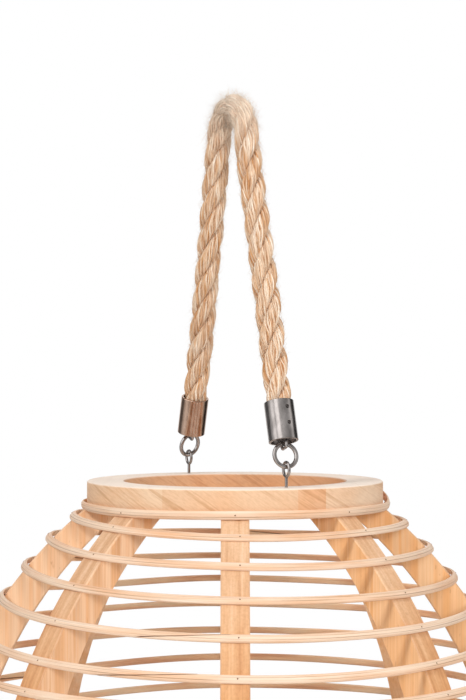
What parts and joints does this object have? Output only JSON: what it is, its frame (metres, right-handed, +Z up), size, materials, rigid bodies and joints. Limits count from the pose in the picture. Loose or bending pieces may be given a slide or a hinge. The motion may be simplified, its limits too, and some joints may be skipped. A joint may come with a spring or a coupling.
{
  "type": "hurricane candle lantern",
  "caption": "Round wooden cage lantern: cane hoops nailed on bowed ribs between a ring and a base board, with a swinging rope handle and a candle in a glass cylinder.",
  "frame": {"origin": "centre of the base board's underside, on the surface it stands on", "axes": "+Z up along the lantern's axis, -Y towards the front rib, +X to the right of it"},
  "size_m": [0.4274, 0.4274, 0.6912],
  "materials": {
    "ring_wood": "sanded bare softwood, faint oil",
    "base_wood": "sanded bare softwood",
    "rib_wood": "sawn and sanded bare softwood",
    "dowel_wood": "hardwood dowel",
    "cane": "split peeled cane, satin",
    "rope": "three-strand laid plant fibre",
    "bright_metal": "bright nickel plate",
    "brad_steel": "dulled brown steel",
    "screw_steel": "zinc plated",
    "glass": "clear pressed glass",
    "wax": "ivory candle wax",
    "wick": "plaited cotton"
  },
  "bodies": {
    "frame": {"top_ring": "ring_wood", "base_board": "base_wood", "glass_stop": "cane", "rib_dowels": "dowel_wood", "base_screws": "screw_steel", "hoop_brads": "brad_steel", "screw_eye_front": "bright_metal", "screw_eye_back": "bright_metal", "rib_1": "rib_wood", "rib_2": "rib_wood", "rib_3": "rib_wood", "rib_4": "rib_wood", "rib_5": "rib_wood", "rib_6": "rib_wood", "rib_7": "rib_wood", "rib_8": "rib_wood", "hoop_01": "cane", "hoop_02": "cane", "hoop_03": "cane", "hoop_04": "cane", "hoop_05": "cane", "hoop_06": "cane", "hoop_07": "cane", "hoop_08": "cane", "hoop_09": "cane", "hoop_10": "cane", "hoop_11": "cane", "hoop_12": "cane", "hoop_13": "cane", "hoop_14": "cane", "hoop_15": "cane", "hoop_16": "cane", "hoop_17": "cane", "hoop_18": "cane", "hoop_19": "cane"},
    "links": {"link_ring_front": "bright_metal", "link_ring_back": "bright_metal"},
    "handle": {"rope_handle": "rope", "ferrule_front": "bright_metal", "ferrule_back": "bright_metal", "staple_front": "bright_metal", "staple_back": "bright_metal"},
    "glass": {"glass_cylinder": "glass"},
    "candle": {"pillar_candle": "wax", "candle_wick": "wick"}
  },
  "joints": [
    {"name": "link_swing", "type": "hinge", "parent": "frame", "child": "links", "pos_m": [-0.03276, 0.07908, 0.4462], "axis": [0.3827, -0.9239, 0], "range_deg": [-60, 60]},
    {"name": "handle_tilt", "type": "hinge", "parent": "links", "child": "handle", "pos_m": [-0.03168, 0.07649, 0.45512], "axis": [0.3827, -0.9239, 0], "range_deg": [-30, 30]},
    {"name": "glass_lift", "type": "slide", "parent": "frame", "child": "glass", "axis": [0, 0, 1], "range_m": [0, 0.25]},
    {"name": "candle_lift", "type": "slide", "parent": "glass", "child": "candle", "axis": [0, 0, 1], "range_m": [0, 0.2]}
  ]
}
